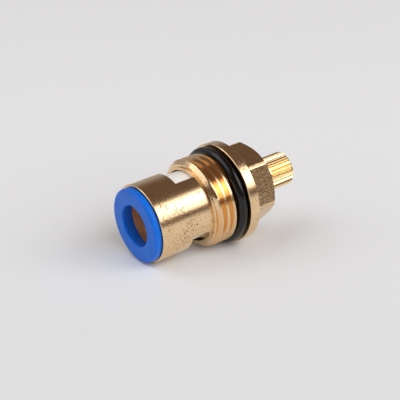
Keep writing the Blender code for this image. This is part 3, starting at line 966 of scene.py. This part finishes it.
def spindle_circlip():
    """An open snap ring with a lug and a hole at each end."""
    start, end = CLIP_HALF_MOUTH, TAU - CLIP_HALF_MOUTH
    outline = (
        arc(CLIP_LUG, start, start + CLIP_LUG_TURN)
        + arc(CLIP_OUTER, start + CLIP_LUG_TURN, end - CLIP_LUG_TURN)
        + arc(CLIP_LUG, end - CLIP_LUG_TURN, end)
        + arc(CLIP_INNER, end, start)
    )
    near = X_HEX_END + SEAT
    clip = place(extruded(outline, near, near + CLIP_THICKNESS), "spindle_circlip_stamped")
    for angle in (start + CLIP_LUG_TURN / 2, end - CLIP_LUG_TURN / 2):
        hole = circle(CLIP_HOLE, centre=polar((CLIP_INNER + CLIP_LUG) / 2, angle))
        carve(clip, extruded(hole, X_HEX_END - OVERRUN, X_HEX_END + 2 * OVERRUN))
    broken_edges(clip, HARD_EDGE)
    finished(clip, "spindle", "spindle_circlip", (steel,))


def finish_inner_pieces():
    """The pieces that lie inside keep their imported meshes, and get their finishes here."""
    for node, finish in {
        "fixed_disc": ceramic,
        "slide_washer": plastic,
        "spindle_o_ring_inner": ring_rubber,
        "spindle_o_ring_outer": ring_rubber,
    }.items():
        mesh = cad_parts[node].data
        mesh.materials.clear()
        mesh.materials.append(finish)


valve_body()
flange_o_ring()
inlet_seal()
seal_support_ring()
moving_disc()
spindle()
spindle_circlip()
finish_inner_pieces()


# Studio

# The floor and the camera, in the cartridge's frame and in metres, and how far out the rest stands
FLOOR_NORMAL = Vector((0.12242, 0.0, 0.99248)).normalized()
FLOOR_DROP = 11.426 * MM
CAMERA_AT = Vector((-116.734, -173.084, 95.405)) * MM
CAMERA_RIGHT = Vector((0.80647, -0.58285, -0.09947)).normalized()
CAMERA_UP = Vector((0.31941, 0.28787, 0.90283)).normalized()
AHEAD = FLOOR_NORMAL.cross(CAMERA_RIGHT).normalized()
ASIDE = AHEAD.cross(FLOOR_NORMAL).normalized()
TABLE = 8.0
TABLE_SIDES = 64
ROOM = 7.4
BACKDROP = 6.8
LAMPS = 4.0
INNER_LAMP = 3.9


def direction(azimuth, elevation):
    """A direction in the studio: azimuth 0 is away from the camera and 90 to its right."""
    turn, rise = math.radians(azimuth), math.radians(elevation)
    level = AHEAD * math.cos(turn) + ASIDE * math.sin(turn)
    return level * math.cos(rise) + FLOOR_NORMAL * math.sin(rise)


def softbox(name, azimuth, elevation, wide, high, radiance, distance=LAMPS, mirrored=True):
    """A rectangular lamp, its size given as angles seen from the cartridge. Metal shows it if mirrored."""
    out = direction(azimuth, elevation)
    level = FLOOR_NORMAL.cross(out).normalized()
    lamp = bpy.data.lights.new(name, "AREA")
    lamp.shape = "RECTANGLE"
    lamp.size = 2 * distance * math.tan(math.radians(wide / 2))
    lamp.size_y = 2 * distance * math.tan(math.radians(high / 2))
    lamp.energy = radiance * math.pi * lamp.size * lamp.size_y
    thing = bpy.data.objects.new(name, lamp)
    turn = Matrix((level, out.cross(level), out)).transposed().to_4x4()
    thing.matrix_world = Matrix.Translation(out * distance) @ turn
    thing.visible_camera = False
    thing.visible_glossy = mirrored
    bpy.context.scene.collection.objects.link(thing)


def stage_piece(name, verts, faces, finish, seen=True):
    mesh = bpy.data.meshes.new(name)
    mesh.from_pydata(verts, [], faces)
    mesh.materials.append(finish)
    thing = bpy.data.objects.new(name, mesh)
    thing.visible_camera = seen
    bpy.context.scene.collection.objects.link(thing)


def paper():
    """The table's paper, with painted light: its colour grows paler away from the camera."""
    finish = Finish("pale_paper", Roughness=0.9)
    cloud = finish.noise(finish.where, 0.012, 2.0)
    away = finish.vector("DOT_PRODUCT", finish.where, tuple(AHEAD), output="Value")
    # Painted light: the colour runs from darker near the camera to paler far from it.
    shade = (finish.eased(away, -90.0, 130.0) + cloud * 0.2).limited()
    return finish.feed(Base_Color=finish.mixed(shade, (0.825, 0.85, 0.875), (0.88, 0.905, 0.93)))


def glow(name, colour, strength, faded=None, distance=1.0):
    """Only gives off light, for what surrounds the table, and can fade to another colour higher up."""
    finish = Finish(
        name,
        Base_Color=(0.0, 0.0, 0.0, 1.0),
        Roughness=1.0,
        Specular_IOR_Level=0.0,
        Emission_Strength=strength,
    )
    cloud = finish.noise(finish.where, 0.001, 2.0)
    tint = finish.mixed(cloud, colour, tuple(part * 0.9 for part in colour))
    if faded:
        up = tuple(FLOOR_NORMAL * MM / distance)
        height = finish.vector("DOT_PRODUCT", finish.where, up, output="Value")
        low, high = (math.sin(math.radians(elevation)) for elevation in (15, 45))
        tint = finish.mixed(finish.eased(height, low, high), tint, faded)
    return finish.feed(Emission_Color=tint)


def shell(name, distance, azimuths, elevations, finish, columns=48, rows=16):
    """Part of a sphere round the table. The camera doesn't see it, but metal does."""
    verts, faces = [], []
    for row in range(rows + 1):
        for column in range(columns + 1):
            azimuth = azimuths[0] + (azimuths[1] - azimuths[0]) * column / columns
            elevation = elevations[0] + (elevations[1] - elevations[0]) * row / rows
            verts.append(direction(azimuth, elevation) * distance)
            if row and column:
                last = len(verts) - 1
                faces.append((last, last - 1, last - columns - 2, last - columns - 1))
    stage_piece(name, verts, faces, finish, seen=False)


def studio():
    """The table, the dim room and the wall behind the table, and the lamps."""
    foot = -FLOOR_NORMAL * FLOOR_DROP
    table = [foot + direction(360 * step / TABLE_SIDES, 0) * TABLE for step in range(TABLE_SIDES)]
    stage_piece("floor", table, [list(range(TABLE_SIDES))], paper())
    dark_room = glow("dark_room", (1.0, 0.70, 0.56), 0.145)
    far_wall = glow("far_wall", (0.98, 0.95, 0.98), 0.42, faded=(0.34, 0.25, 0.20), distance=BACKDROP)
    shell("room", ROOM, (0, 360), (-8, 90), dark_room)
    shell("backdrop", BACKDROP, (-75, 60), (-4, 45), far_wall)
    softbox("key_softbox", 103, 35, 41, 37, 2.1)
    softbox("key_lamp_in_softbox", 108, 37, 18, 16, 1.25, distance=INNER_LAMP)
    softbox("near_softbox", 150, 35, 40, 50, 2.7, mirrored=False)
    softbox("fill_softbox", -110, 48, 54, 52, 1.15)
    softbox("left_softbox", -66, 50, 50, 50, 0.5)


def pale_world():
    """What the camera sees past the floor, and metal or glass where no studio piece stands before it."""
    world = bpy.data.worlds.new("pale_world")
    bpy.context.scene.world = world
    world.use_nodes = True
    nodes = Nodes(world.node_tree)
    seen = nodes.node("ShaderNodeLightPath", output="Is Camera Ray")
    for ray in ("Is Glossy Ray", "Is Transmission Ray"):
        seen = seen.at_least(nodes.node("ShaderNodeLightPath", output=ray))
    colour = nodes.mixed(seen, (0.15, 0.12, 0.10), (0.74, 0.735, 0.73))
    nodes.tree.links.new(colour.socket, nodes.tree.nodes["Background"].inputs["Color"])


def camera():
    lens = bpy.data.cameras.new("camera")
    lens.lens = 90.0
    lens.sensor_width = 36.0
    lens.clip_start = 0.01
    lens.clip_end = 40.0
    thing = bpy.data.objects.new("camera", lens)
    back = CAMERA_RIGHT.cross(CAMERA_UP)
    turn = Matrix((CAMERA_RIGHT, CAMERA_UP, back)).transposed().to_4x4()
    thing.matrix_world = Matrix.Translation(CAMERA_AT) @ turn
    bpy.context.scene.collection.objects.link(thing)
    bpy.context.scene.camera = thing


studio()
pale_world()
camera()
bpy.context.scene.view_settings.view_transform = "Standard"
